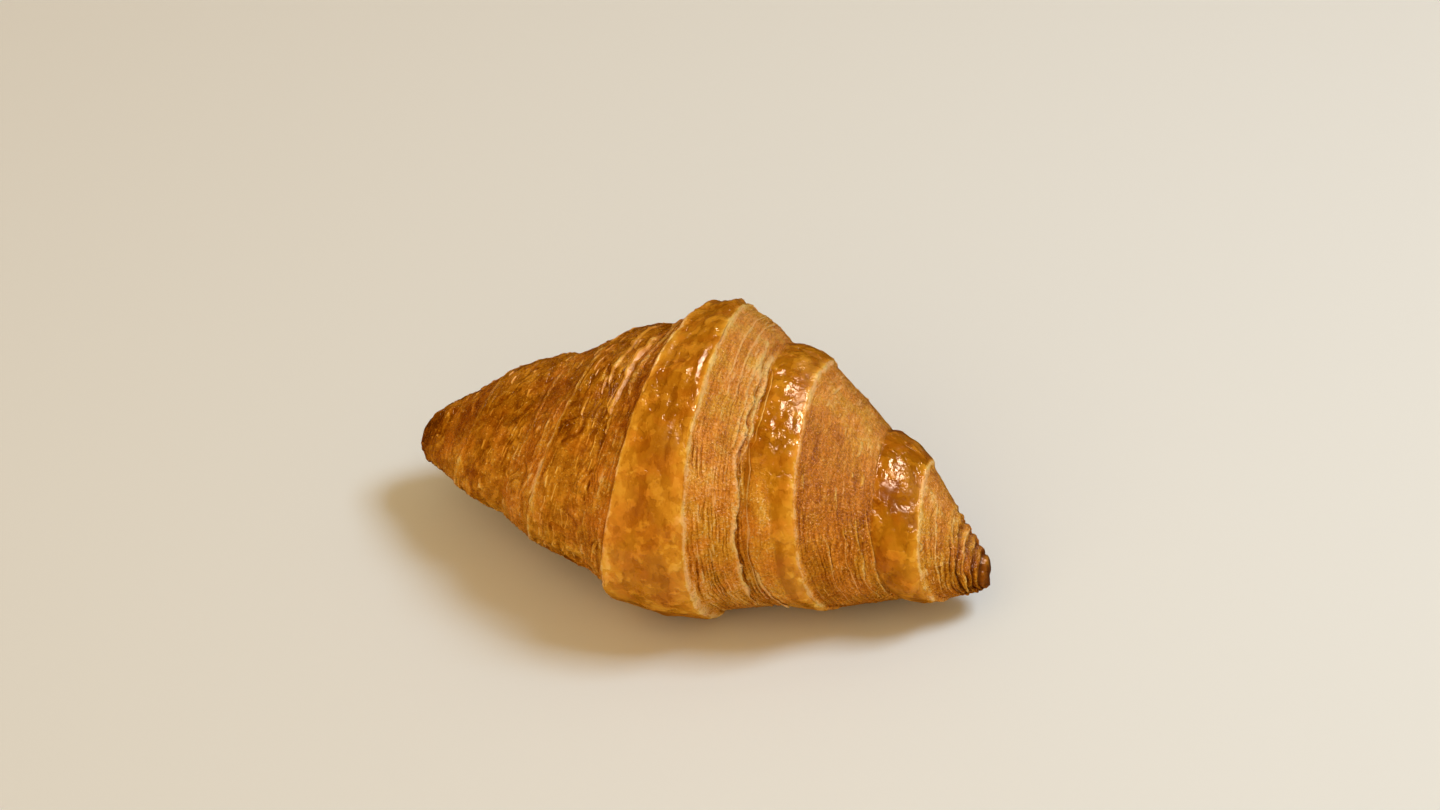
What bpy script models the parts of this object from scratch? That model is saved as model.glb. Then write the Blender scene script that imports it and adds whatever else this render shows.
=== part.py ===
"""A plain butter croissant: one triangle of laminated dough, rolled up and baked.

The roll lies along X with its ends at -X and +X, and it rests on the flat patch
that the tray leaves underneath. Every turn of dough ends in an edge that runs
round the roll as part of a helix: it stands proud as a crest, falls away as a
cut face towards the tip of the roll, and meets the skin of the turn below it in
a valley. Sizes are in metres and angles go round the roll, from 0 at the front
(-Y) over the top (90 degrees) to the back (180 degrees).
"""
import math

import bmesh
import bpy
from mathutils import Vector, noise

# Driving dimensions of the whole roll.
LENGTH = 0.150
HALF_WIDTH = 0.0410
HALF_HEIGHT = 0.0331
TIP_ROUNDING = 0.0035
WIDEST_AT = 0.0004
AXIS_HEIGHT = 0.0303
AXIS_DROP_POWER = 1.94

# Each end: powers of its taper seen from above and from the front, share of its
# height kept at the tip, the tip's radius and axis height, and how far and how
# suddenly the axis bows towards the back.
LEFT_END = (1.67, 1.44, 0.90, 0.0047, 0.0186, -0.0004, 1.8)
RIGHT_END = (1.62, 1.785, 0.917, 0.0029, 0.0106, 0.0026, 1.3)

# Edges of the dough from the left tip to the right tip: place along X at the
# front, drift by the time it reaches the back, height of the crest, drop of its
# lip, where the valley lies in the strip outside it (0 to 1), and its depth.
EDGES = (
    (-0.0593, 0.0060, 0.0008, 0.0003, 0.45, 0.0004),
    (-0.0340, 0.0085, 0.0003, 0.0003, 0.40, 0.0020),
    (-0.0104, 0.0020, 0.0024, 0.0009, 0.33, 0.0009),
    (0.0100, -0.0095, 0.0013, 0.0008, 0.52, 0.0023),
    (0.0360, -0.0130, 0.0014, 0.0006, 0.60, 0.0018),
    (0.0620, -0.0090, 0.0023, 0.0008, 0.70, 0.0007),
)
FIRST_RIGHT_EDGE = 3
DRIFT_EASE = 0.55
LIP_WIDTH = 0.0009
MIDDLE_BAND_RISE = 0.0013
MIDDLE_LEFT_SHARE = 0.35
MIDDLE_RIGHT_SHARE = 0.40
CUT_POWER = 0.8
SKIN_POWER = 2.2

# The crown: the middle of the roll stands highest on top, towards the back.
CROWN_RISE = 0.0034
CROWN_AT = 0.0050
CROWN_SPREAD = 0.0100
CROWN_FROM, CROWN_TO = 50.0, 215.0
CROWN_RAMP_UP, CROWN_RAMP_DOWN = 55.0, 60.0

# The middle band swells over its neighbours in two places: a belly that sags low
# at the front, and a hump behind the top. For each: height, angle and spread in
# degrees, and how far past the band's left and right edge it starts and ramps up.
BELLY = (0.0020, -32.0, 33.0, 0.0030, 0.0040, 0.0015, 0.0025)
HUMP = (0.0020, 135.0, 25.0, 0.0005, 0.0020, -0.0010, 0.0025)

# The underside, where the folds are pressed flat and the edges run back to
# where they started.
UNDERSIDE_HALF_ANGLE = 45.0
PRESSED_RELIEF = 0.12
PRESSED_UP_TO = 20.0
PRESSED_FADE = 65.0

# Hand-rolled unevenness.
LUMP_HEIGHT = 0.0008
LUMP_SIZE = 0.022
WANDER = 0.0007
WANDER_SIZE = 0.014
WANDER_RADIUS = 0.020

# Mesh: segments round the roll, and rings in each strip of dough.
SEGMENTS = 72
TIP_RINGS = 7
LEFT_RINGS = 9
RIGHT_RINGS = 11
MIDDLE_RINGS = 8
LIP_RING = 0.06
SKIN_RING_POWER = 1.2

CRUST_COLOUR = (0.46, 0.19, 0.035, 1.0)
CRUST_ROUGHNESS = 0.42

HALF = LENGTH / 2


def clear_scene():
    """Remove what the start-up file holds."""
    for item in list(bpy.data.objects):
        bpy.data.objects.remove(item, do_unlink=True)


def ease(value):
    """Smooth step from 0 to 1."""
    value = min(max(value, 0.0), 1.0)
    return value * value * (3.0 - 2.0 * value)


def half_turns(degrees):
    """Progress of an edge over the top, run back to its start underneath."""
    start = -UNDERSIDE_HALF_ANGLE / 180.0
    finish = 1.0 - start
    if degrees > 180.0 + UNDERSIDE_HALF_ANGLE:
        under = (degrees - 180.0 - UNDERSIDE_HALF_ANGLE) / (2.0 * UNDERSIDE_HALF_ANGLE)
    elif degrees < -UNDERSIDE_HALF_ANGLE:
        under = (degrees + 180.0 - UNDERSIDE_HALF_ANGLE) / (2.0 * UNDERSIDE_HALF_ANGLE)
    else:
        return eased_drift(degrees / 180.0)
    return eased_drift(finish + (start - finish) * ease(under))


def eased_drift(turns):
    """An edge drifts fastest at the front, where the dough is pulled tight."""
    return turns * (1.0 + DRIFT_EASE - DRIFT_EASE * turns)


def edge_line(index, degrees):
    """X of an edge at this angle; the two ends of the roll count as edges too."""
    if index < 0:
        return -HALF
    if index >= len(EDGES):
        return HALF
    start, drift = EDGES[index][:2]
    angle = math.radians(degrees)
    spot = Vector((start, WANDER_RADIUS * math.cos(angle), WANDER_RADIUS * math.sin(angle)))
    wander = WANDER * noise.noise(spot / WANDER_SIZE)
    return start + drift * half_turns(degrees) + wander


def cut_height(edge, strip_fraction, distance):
    """Relief of the cut face, from the crest through its lip to the valley."""
    crest, lip, valley, depth = edge[2:]
    fall = min(strip_fraction / valley, 1.0) ** CUT_POWER
    return crest - lip * ease(distance / LIP_WIDTH) - (crest - lip + depth) * fall


def skin_height(edge, strip_fraction, next_crest):
    """Relief of the skin, from the valley up to the next crest."""
    valley, depth = edge[4:]
    climb = (strip_fraction - valley) / (1.0 - valley)
    return -depth + (next_crest + depth) * (1.0 - (1.0 - climb) ** SKIN_POWER)


def relief(index, strip_fraction, width):
    """Height of the folds in the strip outside one edge of the dough."""
    edge = EDGES[index]
    step = 1 if index >= FIRST_RIGHT_EDGE else -1
    neighbour = index + step
    next_crest = EDGES[neighbour][2] if 0 <= neighbour < len(EDGES) else 0.0
    if strip_fraction < edge[4]:
        return cut_height(edge, strip_fraction, strip_fraction * width)
    return skin_height(edge, strip_fraction, next_crest)


def middle_relief(fraction):
    """Height of the last turn, the band that closes the roll."""
    left_crest = EDGES[FIRST_RIGHT_EDGE - 1][2]
    right_crest = EDGES[FIRST_RIGHT_EDGE][2]
    near_left = 1.0 - ease(fraction / MIDDLE_LEFT_SHARE)
    near_right = ease(1.0 - (1.0 - fraction) / MIDDLE_RIGHT_SHARE)
    rise = (left_crest - MIDDLE_BAND_RISE) * near_left
    return MIDDLE_BAND_RISE + rise + (right_crest - MIDDLE_BAND_RISE) * near_right


def grip(degrees):
    """Share of the relief that is left: all above, little on the pressed base."""
    from_base = (degrees + 90.0) % 360.0
    from_base = min(from_base, 360.0 - from_base)
    return PRESSED_RELIEF + (1.0 - PRESSED_RELIEF) * ease((from_base - PRESSED_UP_TO) / PRESSED_FADE)


def crown(x, degrees):
    """Extra height of the middle of the roll."""
    along = math.exp(-((x - CROWN_AT) / CROWN_SPREAD) ** 2)
    rising = ease((degrees - CROWN_FROM) / CROWN_RAMP_UP)
    falling = ease((CROWN_TO - degrees) / CROWN_RAMP_DOWN)
    return CROWN_RISE * along * rising * falling


def swell(x, degrees, shape):
    """Extra fullness of the middle band, as a belly or a hump."""
    rise, at, breadth, past_left, left_ramp, past_right, right_ramp = shape
    from_left = x - edge_line(FIRST_RIGHT_EDGE - 1, degrees) + past_left
    from_right = edge_line(FIRST_RIGHT_EDGE, degrees) + past_right - x
    inside = ease(from_left / left_ramp) * ease(from_right / right_ramp)
    return rise * inside * math.exp(-((degrees - at) / breadth) ** 2)


def taper(x):
    """Half width, half height, axis height and bow of the plain roll at x."""
    if x < WIDEST_AT:
        out = (WIDEST_AT - x) / (WIDEST_AT + HALF)
        end = LEFT_END
    else:
        out = (x - WIDEST_AT) / (HALF - WIDEST_AT)
        end = RIGHT_END
    width_power, height_power, kept_height, tip_radius, tip_height, bow, bow_power = end
    half_width = tip_radius + (HALF_WIDTH - tip_radius) * (1.0 - out ** width_power)
    lower = 1.0 - (1.0 - kept_height) * out
    half_height = tip_radius + (HALF_HEIGHT - tip_radius) * (1.0 - out ** height_power) * lower
    axis_height = AXIS_HEIGHT + (tip_height - AXIS_HEIGHT) * out ** AXIS_DROP_POWER
    return half_width, half_height, axis_height, bow * out ** bow_power


def tip_closing(x):
    """Share of the radius that is left where the ends round off."""
    inside = min(max((abs(x) - (HALF - TIP_ROUNDING)) / TIP_ROUNDING, 0.0), 1.0)
    return math.sqrt(1.0 - inside * inside)


def skin_point(x, degrees, height):
    """Point of the crust at x and this angle, raised by the folds' height."""
    half_width, half_height, axis_height, bow = taper(x)
    angle = math.radians(degrees)
    around = Vector((x, -half_width * math.cos(angle), half_height * math.sin(angle)))
    lump = LUMP_HEIGHT * noise.noise(around / LUMP_SIZE)
    fullness = crown(x, degrees) + swell(x, degrees, BELLY) + swell(x, degrees, HUMP)
    raised = (height + lump) * grip(degrees) + fullness
    closing = tip_closing(x)
    y = bow - (half_width + raised) * closing * math.cos(angle)
    z = axis_height + (half_height + raised) * closing * math.sin(angle)
    return Vector((x, y, max(z, 0.0)))


def strip_fractions(valley, rings):
    """Ring places in a strip, from its crest outwards, with one in the valley."""
    in_cut = rings // 2
    cut = [0.0, LIP_RING] + [valley * (k / in_cut) for k in range(1, in_cut)]
    skin_rings = rings - len(cut)
    skin = [valley + (1.0 - valley) * (k / skin_rings) ** SKIN_RING_POWER for k in range(skin_rings)]
    return cut + skin


def ring_plan():
    """Every ring from the left tip to the right tip, as (edge, next edge, fraction)."""
    left = []
    for index in range(FIRST_RIGHT_EDGE - 1, -1, -1):
        rings = TIP_RINGS if index == 0 else LEFT_RINGS
        for fraction in strip_fractions(EDGES[index][4], rings):
            left.append((index, index - 1, fraction))
    middle = []
    for k in range(1, MIDDLE_RINGS):
        middle.append((FIRST_RIGHT_EDGE - 1, FIRST_RIGHT_EDGE, k / MIDDLE_RINGS))
    right = []
    for index in range(FIRST_RIGHT_EDGE, len(EDGES)):
        rings = RIGHT_RINGS if index < len(EDGES) - 1 else TIP_RINGS
        for fraction in strip_fractions(EDGES[index][4], rings):
            right.append((index, index + 1, fraction))
    return left[::-1] + middle + right


def crust_point(ring, degrees):
    """Point of the crust on one ring at this angle."""
    inner, outer, fraction = ring
    inner_x = edge_line(inner, degrees)
    outer_x = edge_line(outer, degrees)
    x = inner_x + (outer_x - inner_x) * fraction
    if (inner, outer) == (FIRST_RIGHT_EDGE - 1, FIRST_RIGHT_EDGE):
        height = middle_relief(fraction)
    else:
        height = relief(inner, fraction, abs(outer_x - inner_x))
    return skin_point(x, degrees, height)


def crust_material():
    """Baked, egg-washed crust."""
    material = bpy.data.materials.new("crust")
    material.use_nodes = True
    surface = material.node_tree.nodes["Principled BSDF"]
    surface.inputs["Base Color"].default_value = CRUST_COLOUR
    surface.inputs["Roughness"].default_value = CRUST_ROUGHNESS
    surface.inputs["Metallic"].default_value = 0.0
    return material


def make_croissant(collection):
    """Sphere whose rings are carried out to the folds of the dough."""
    rings = ring_plan()
    mesh = bpy.data.meshes.new("croissant")
    shape = bmesh.new()
    bmesh.ops.create_uvsphere(shape, u_segments=SEGMENTS, v_segments=len(rings) + 1, radius=1.0)
    for vertex in shape.verts:
        polar = math.acos(min(max(-vertex.co.z, -1.0), 1.0)) / math.pi
        number = round(polar * (len(rings) + 1))
        if number == 0:
            vertex.co = skin_point(-HALF, 0.0, 0.0)
        elif number > len(rings):
            vertex.co = skin_point(HALF, 0.0, 0.0)
        else:
            degrees = math.degrees(math.atan2(vertex.co.y, vertex.co.x))
            vertex.co = crust_point(rings[number - 1], (degrees + 90.0) % 360.0 - 90.0)
    bmesh.ops.recalc_face_normals(shape, faces=shape.faces)
    shape.to_mesh(mesh)
    shape.free()
    stand_on_origin(mesh)
    mesh.materials.append(crust_material())
    croissant = bpy.data.objects.new("croissant", mesh)
    collection.objects.link(croissant)
    return croissant


def stand_on_origin(mesh):
    """Centre the roll over the origin, with its base at height 0."""
    corners = [vertex.co for vertex in mesh.vertices]
    middle_x = (min(c.x for c in corners) + max(c.x for c in corners)) / 2
    middle_y = (min(c.y for c in corners) + max(c.y for c in corners)) / 2
    for vertex in mesh.vertices:
        vertex.co -= Vector((middle_x, middle_y, 0.0))


def main():
    clear_scene()
    collection = bpy.data.collections.new("croissant")
    bpy.context.scene.collection.children.link(collection)
    make_croissant(collection)


main()
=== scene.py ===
"""Looks of the croissant: a finely modelled crust, its loose flakes, floor, light and camera.

The crust repeats the folds of the CAD solid that it replaces and adds what the
baked dough shows: laminated cut faces, torn layers, blistered skin and a bright
rim along every edge, partly paler dough and partly painted highlight. Its colour
also holds painted shade in the grooves, gaps and fin gaps, and painted highlights
on the sheet edges, the glints and the top of the roll. Sizes in this script are
in millimetres until they are written to a mesh, and angles go round the roll,
from 0 at the front over the top (90 degrees) to the back (180 degrees).
"""
import math

import bpy
import numpy as np
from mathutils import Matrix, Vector, noise


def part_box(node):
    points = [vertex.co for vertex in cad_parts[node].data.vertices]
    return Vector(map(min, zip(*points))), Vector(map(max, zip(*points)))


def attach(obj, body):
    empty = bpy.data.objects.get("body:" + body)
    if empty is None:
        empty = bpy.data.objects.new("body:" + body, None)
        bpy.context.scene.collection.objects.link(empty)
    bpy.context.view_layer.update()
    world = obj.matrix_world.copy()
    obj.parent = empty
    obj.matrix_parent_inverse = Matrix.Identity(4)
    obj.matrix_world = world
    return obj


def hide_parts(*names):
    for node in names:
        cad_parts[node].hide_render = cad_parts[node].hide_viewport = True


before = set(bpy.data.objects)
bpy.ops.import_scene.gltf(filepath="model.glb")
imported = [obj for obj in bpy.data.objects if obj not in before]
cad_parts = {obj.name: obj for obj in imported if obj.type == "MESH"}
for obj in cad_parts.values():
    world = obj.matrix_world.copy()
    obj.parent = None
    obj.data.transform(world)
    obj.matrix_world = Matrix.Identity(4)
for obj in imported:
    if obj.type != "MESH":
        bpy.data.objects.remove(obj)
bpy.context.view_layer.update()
LOW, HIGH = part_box("croissant")

MM = 0.001
HALF = (HIGH[0] - LOW[0]) / 2 / MM

# The plain roll, as in the CAD.
HALF_WIDTH = 41.0
HALF_HEIGHT = 33.1
TIP_ROUNDING = 3.5
WIDEST_AT = 0.4
AXIS_HEIGHT = 30.3
AXIS_DROP_POWER = 1.94
LEFT_END = (1.67, 1.44, 0.90, 4.7, 18.6, -0.4, 1.8)
RIGHT_END = (1.62, 1.785, 0.917, 2.9, 10.6, 2.6, 1.3)

# Edges of the dough from left to right: place at the front, drift towards the
# back, crest, lip, valley place in the strip outside it, valley depth, layers
# that its cut face shows, how clearly they show low down, and how torn it is.
EDGES = (
    (-59.3, 6.0, 0.8, 0.3, 0.45, 0.4, 5, 0.4, 0.3),
    (-34.0, 8.5, 0.3, 0.3, 0.40, 2.0, 9, 0.4, 0.4),
    (-10.4, 2.0, 2.4, 0.9, 0.33, 0.9, 9, 0.5, 0.5),
    (10.0, -9.5, 1.3, 0.8, 0.52, 2.3, 14, 1.0, 0.5),
    (36.0, -13.0, 1.4, 0.6, 0.60, 1.8, 15, 0.6, 0.2),
    (62.0, -9.0, 2.3, 0.8, 0.80, 0.7, 10, 1.0, 0.3),
)
FIRST_RIGHT_EDGE = 3
DRIFT_EASE = 0.55
MIDDLE_BAND_RISE = 1.3
MIDDLE_LEFT_SHARE, MIDDLE_RIGHT_SHARE = 0.35, 0.40
CUT_POWER = 0.8
SKIN_POWER = 2.2
LIP_WIDTH = 0.5
CROWN_RISE, CROWN_AT, CROWN_SPREAD = 3.4, 5.0, 10.0
CROWN_FROM, CROWN_TO = 50.0, 215.0
CROWN_RAMP_UP, CROWN_RAMP_DOWN = 55.0, 60.0
BELLY = (2.0, -32.0, 33.0, 3.0, 4.0, 1.5, 2.5)
HUMP = (2.0, 135.0, 25.0, 0.5, 2.0, -1.0, 2.5)
UNDERSIDE_HALF_ANGLE = 45.0
PRESSED_RELIEF = 0.12
PRESSED_UP_TO, PRESSED_FADE = 20.0, 65.0
LUMP_HEIGHT, LUMP_SIZE = 0.8, 22.0
WANDER, WANDER_SIZE, WANDER_RADIUS = 0.7, 14.0, 20.0

# Mesh spacing.
LEFT_CUT_STEP, RIGHT_CUT_STEP = 0.34, 0.23
SKIN_STEP = 0.60
FINE_BEYOND = 1.8
TOP_SEGMENTS = 196
BASE_SEGMENTS = 26
BASE_FROM, BASE_TO = 225.0, 315.0

# Places of the looks round the roll and along it.
LOW_UP_TO, LOW_FADE = 30.0, 45.0
STRETCHED_AT, STRETCHED_SPREAD = 72.0, 36.0
HANGING_AT, HANGING_SPREAD = 28.0, 62.0
# Where the top of the roll is painted paler, as the light and sheen that fall on it.
LIT_TOP_AT, LIT_TOP_SPREAD = 100.0, 34.0
LEFT_TIP_FROM, LEFT_TIP_FADE = 48.0, 26.0
RIGHT_TIP_FROM, RIGHT_TIP_FADE = 60.0, 12.0
BARE_TIP_FROM, BARE_TIP_FADE = 62.0, 4.0
PARTING_AT, PARTING_UP_TO = 0.455, 140.0
FLAP_FROM, FLAP_TO, FLAP_LOW_SPREAD, FLAP_UP_TO = 0.49, 0.60, 0.20, 62.0
WIDE_CUT = 4

TIP_FIN_PITCH = 1.35
BUBBLES = 170

# Torn sheets that lie over the crust: edge they belong to, place of their raised
# side in the strip outside it, width, lift, and angles they start and end at.
TORN_SHEETS = (
    (3, 0.44, 1.8, 1.5, -40, 114),
    (3, 0.57, 1.4, 1.0, -34, 66),
    (3, 0.66, 4.5, 0.5, -44, 6),
    (3, 0.52, 2.0, 0.9, 46, 112),
    (3, 0.40, 1.6, 0.7, 50, 118),
    (3, 0.60, 1.6, 0.7, 56, 100),
    (3, 0.30, 1.2, 0.45, 66, 140),
    (3, 0.19, 1.0, 0.30, 74, 150),
    (4, 0.24, 0.8, 0.25, -40, 30),
    (4, 0.38, 0.8, 0.30, -40, 44),
    (4, 0.49, 0.9, 0.35, -40, 52),
    (4, 0.58, 1.0, 0.40, -34, 60),
    (5, 0.22, 0.8, 0.25, -40, 110),
    (5, 0.45, 1.0, 0.35, -40, 120),
    (5, 0.62, 1.0, 0.45, -40, 140),
    (2, 0.26, 1.8, 0.9, 62, 150),
    (2, 0.40, 1.8, 0.8, 54, 112),
    (2, 0.60, 1.4, 0.6, 70, 130),
    (1, 0.34, 1.3, 0.4, 40, 100),
)
SHEET_THICKNESS = 0.16
SHEET_STEP = 0.45
SHEET_ROWS = 5
SMALL_FLAKES = 260
FLAKY_EDGES = (0, 1, 1, 1, 2, 2, 2, 2, 3, 3, 4, 4, 5)

# Strength and width of the pale rim at every edge; its thin crest line is partly a painted highlight.
RIMS = ((0.55, 1.4), (1.0, 1.3), (0.85, 4.6), (1.0, 3.6), (1.0, 2.8), (0.85, 1.8))

# Colours of the crust from palest to darkest, by how far it is baked.
BAKE_COLOURS = (
    (0.0, (1.0, 0.62, 0.22)),
    (0.07, (0.95, 0.50, 0.10)),
    (0.14, (0.86, 0.40, 0.045)),
    (0.3, (0.71, 0.28, 0.020)),
    (0.5, (0.49, 0.168, 0.006)),
    (0.75, (0.28, 0.072, 0.001)),
    (1.0, (0.14, 0.031, 0.0005)),
)

# How much each quality of the crust darkens it, or pales it where below zero. The groove, gap and fin gap
# darkening is painted shade in those hollows, and the rim's paling is partly paler dough and partly a
# painted highlight.
TONE_SHIFTS = (("groove_shade", 0.12), ("gap", 0.27), ("shaded_fin_gap", 0.22), ("rim_and_highlight", -0.60),
               ("torn", -0.42), ("fibre", -0.14), ("base", 0.10))

# Patches of the crust lean to gold or to russet.
GOLDEN_TINT = (0.99, 1.09, 1.0)
RUSSET_TINT = (1.02, 0.92, 1.0)

# Egg wash.
GLAZE_IOR = 1.40
GLAZE_TINT = (1.0, 0.76, 0.56)
GRAIN_DEPTH = 0.25

# Studio, in metres. The key and the fill shade the crust and the gloss light only shines on its glaze.
FLOOR_SIZE = 8.0
FLOOR_COLOUR = (0.79, 0.86, 0.95)
SKY_COLOUR = (1.0, 0.63, 0.28)
SKY_STRENGTH = 0.45
KEY_DIRECTION = (0.48, 0.16, 0.86)
KEY_DISTANCE, KEY_SIZE = 1.2, 0.42
KEY_POWER = 7.0
KEY_COLOUR = (0.82, 0.95, 1.0)
GLOSS_DIRECTION = (0.42, 0.46, 0.78)
GLOSS_POWER = 28.0
GLOSS_COLOUR = (1.0, 0.90, 0.86)
FILL_DIRECTION = (-0.10, -0.80, 0.60)
FILL_DISTANCE, FILL_SIZE = 2.0, 2.6
FILL_POWER = 18.5
FILL_COLOUR = (1.0, 0.74, 0.38)
CAMERA_AZIMUTH = 19.7
CAMERA_ELEVATION = 39.0
CAMERA_DISTANCE = 0.9
CAMERA_TARGET = (0.0, -0.0006, 0.025)
CAMERA_AIM = (0.005, 0.02)
CAMERA_LENS = 90.0
CAMERA_SENSOR = 36.0


# ---------------------------------------------------------------- noise

GRADIENTS = np.random.default_rng(7).normal(size=(256, 3))
GRADIENTS /= np.linalg.norm(GRADIENTS, axis=1, keepdims=True)
SHUFFLE = np.random.default_rng(11).permutation(256)


def gradient_noise(x, y, z, seed=0):
    """Smooth noise between about -1 and 1 on arrays."""
    cell = [np.floor(axis).astype(int) for axis in (x, y, z)]
    inside = [axis - low for axis, low in zip((x, y, z), cell)]
    fade = [t * t * t * (t * (6 * t - 15) + 10) for t in inside]
    total = 0.0
    for i in (0, 1):
        for j in (0, 1):
            for k in (0, 1):
                pick = SHUFFLE[(cell[0] + i + 37 * seed) & 255]
                pick = SHUFFLE[(pick + cell[1] + j) & 255]
                pick = SHUFFLE[(pick + cell[2] + k) & 255]
                g = GRADIENTS[pick]
                dot = g[..., 0] * (inside[0] - i) + g[..., 1] * (inside[1] - j) + g[..., 2] * (inside[2] - k)
                weight = np.where(i, fade[0], 1 - fade[0]) * np.where(j, fade[1], 1 - fade[1])
                total = total + dot * weight * np.where(k, fade[2], 1 - fade[2])
    return total * 1.6


def cloud(x, y, z, size, seed, octaves=3, gain=0.5):
    """Layered noise whose largest features measure size."""
    total, weight, span = 0.0, 1.0, 0.0
    for octave in range(octaves):
        scale = 2.0 ** octave / size
        total = total + weight * gradient_noise(x * scale, y * scale, z * scale, seed + octave)
        span += weight
        weight *= gain
    return total / span


def ease(value):
    """Smooth step from 0 to 1."""
    value = np.clip(value, 0.0, 1.0)
    return value * value * (3.0 - 2.0 * value)


def bell(value, width):
    """Smooth bump, 1 at zero."""
    return np.exp(-(value / width) ** 2)


# ---------------------------------------------------------------- form of the roll

def eased_drift(turns):
    """An edge drifts fastest at the front, where the dough is pulled tight."""
    return turns * (1.0 + DRIFT_EASE - DRIFT_EASE * turns)


def half_turns(degrees):
    """Progress of an edge over the top, run back to its start underneath."""
    start = -UNDERSIDE_HALF_ANGLE / 180.0
    behind = (degrees - 180.0 - UNDERSIDE_HALF_ANGLE) / (2.0 * UNDERSIDE_HALF_ANGLE)
    before = (degrees + 180.0 - UNDERSIDE_HALF_ANGLE) / (2.0 * UNDERSIDE_HALF_ANGLE)
    under = np.where(degrees > 180.0 + UNDERSIDE_HALF_ANGLE, behind, before)
    below = 1.0 - start + (2.0 * start - 1.0) * ease(under)
    is_below = (degrees > 180.0 + UNDERSIDE_HALF_ANGLE) | (degrees < -UNDERSIDE_HALF_ANGLE)
    return eased_drift(np.where(is_below, below, degrees / 180.0))


def edge_line(index, degrees):
    """X of an edge at these angles; the two ends of the roll count as edges too."""
    if index < 0:
        return np.full(degrees.shape, -HALF)
    if index >= len(EDGES):
        return np.full(degrees.shape, HALF)
    start, drift = EDGES[index][:2]
    angle = np.radians(degrees)
    wander = [
        noise.noise(Vector((start, WANDER_RADIUS * math.cos(a), WANDER_RADIUS * math.sin(a))) / WANDER_SIZE)
        for a in angle
    ]
    fine = gradient_noise(np.full(angle.shape, start), 8 * np.cos(angle), 8 * np.sin(angle), 3)
    return start + drift * half_turns(degrees) + WANDER * np.array(wander) + 0.22 * fine


def grip(degrees):
    """Share of the relief that is left: all above, little on the pressed base."""
    from_base = np.mod(degrees + 90.0, 360.0)
    from_base = np.minimum(from_base, 360.0 - from_base)
    return PRESSED_RELIEF + (1.0 - PRESSED_RELIEF) * ease((from_base - PRESSED_UP_TO) / PRESSED_FADE)


def crown(x, degrees):
    """Extra height of the middle of the roll."""
    rising = ease((degrees - CROWN_FROM) / CROWN_RAMP_UP)
    falling = ease((CROWN_TO - degrees) / CROWN_RAMP_DOWN)
    return CROWN_RISE * bell(x - CROWN_AT, CROWN_SPREAD) * rising * falling


def swell(x, left, right, degrees, shape):
    """Extra fullness of the middle band, between its two edges, as a belly or a hump."""
    rise, at, breadth, past_left, left_ramp, past_right, right_ramp = shape
    inside = ease((x - left + past_left) / left_ramp) * ease((right + past_right - x) / right_ramp)
    return rise * inside * bell(degrees - at, breadth)


def taper(x):
    """Half width, half height, axis height and bow of the plain roll at x."""
    left = x < WIDEST_AT
    out = np.where(left, (WIDEST_AT - x) / (WIDEST_AT + HALF), (x - WIDEST_AT) / (HALF - WIDEST_AT))
    out = np.clip(out, 0.0, 1.0)
    ends = [np.where(left, a, b) for a, b in zip(LEFT_END, RIGHT_END)]
    width_power, height_power, kept_height, tip_radius, tip_height, bow, bow_power = ends
    half_width = tip_radius + (HALF_WIDTH - tip_radius) * (1.0 - out ** width_power)
    lower = 1.0 - (1.0 - kept_height) * out
    half_height = tip_radius + (HALF_HEIGHT - tip_radius) * (1.0 - out ** height_power) * lower
    axis_height = AXIS_HEIGHT + (tip_height - AXIS_HEIGHT) * out ** AXIS_DROP_POWER
    return half_width, half_height, axis_height, bow * out ** bow_power


def roll_point(x, degrees, height, swell_here=0.0):
    """Points of the roll at x and these angles, raised by height and the swelling there."""
    half_width, half_height, axis_height, bow = taper(x)
    angle = np.radians(degrees)
    closing = np.clip((np.abs(x) - (HALF - TIP_ROUNDING)) / TIP_ROUNDING, 0.0, 1.0)
    closing = np.sqrt(1.0 - closing * closing)
    raised = height + crown(x, degrees) + swell_here
    y = bow - (half_width + raised) * closing * np.cos(angle)
    z = axis_height + (half_height + raised) * closing * np.sin(angle)
    return np.stack([x, y, z], axis=-1)


# ---------------------------------------------------------------- grid of the crust

def spread(start, end, step):
    """Places from start up to, but without, end, about one step apart."""
    return np.linspace(start, end, max(int(round(abs(end - start) / step)), 2), endpoint=False)


def strip_columns(index):
    """Fractions of the strip outside an edge: fine in its cut face, coarser in its skin."""
    step = 1 if index >= FIRST_RIGHT_EDGE else -1
    outer = index + step
    outer_place = EDGES[outer][0] if 0 <= outer < len(EDGES) else step * HALF
    width = abs(outer_place - EDGES[index][0])
    fine_to = min(EDGES[index][4] + FINE_BEYOND / width, 0.9)
    cut = spread(0.0, fine_to, (RIGHT_CUT_STEP if step > 0 else LEFT_CUT_STEP) / width)
    skin = spread(fine_to, 1.0, SKIN_STEP / width)
    return [(index, outer, f) for f in np.concatenate([cut, skin])]


def column_plan():
    """Every column from the left tip to the right tip, as (inner edge, outer edge, fraction)."""
    left = [column for index in range(FIRST_RIGHT_EDGE - 1, -1, -1) for column in strip_columns(index)]
    width = EDGES[FIRST_RIGHT_EDGE][0] - EDGES[FIRST_RIGHT_EDGE - 1][0]
    inside = spread(0.0, 1.0, SKIN_STEP / width)[1:]
    middle = [(FIRST_RIGHT_EDGE - 1, FIRST_RIGHT_EDGE, f) for f in inside]
    right = [column for index in range(FIRST_RIGHT_EDGE, len(EDGES)) for column in strip_columns(index)]
    return left[::-1] + middle + right


def segment_angles():
    """Angles round the roll, close together above and wide apart on the base."""
    above = np.linspace(BASE_TO - 360.0, BASE_FROM, TOP_SEGMENTS, endpoint=False)
    below = np.linspace(BASE_FROM, BASE_TO, BASE_SEGMENTS, endpoint=False)
    return np.concatenate([above, np.where(below >= 270.0, below - 360.0, below)])


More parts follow.
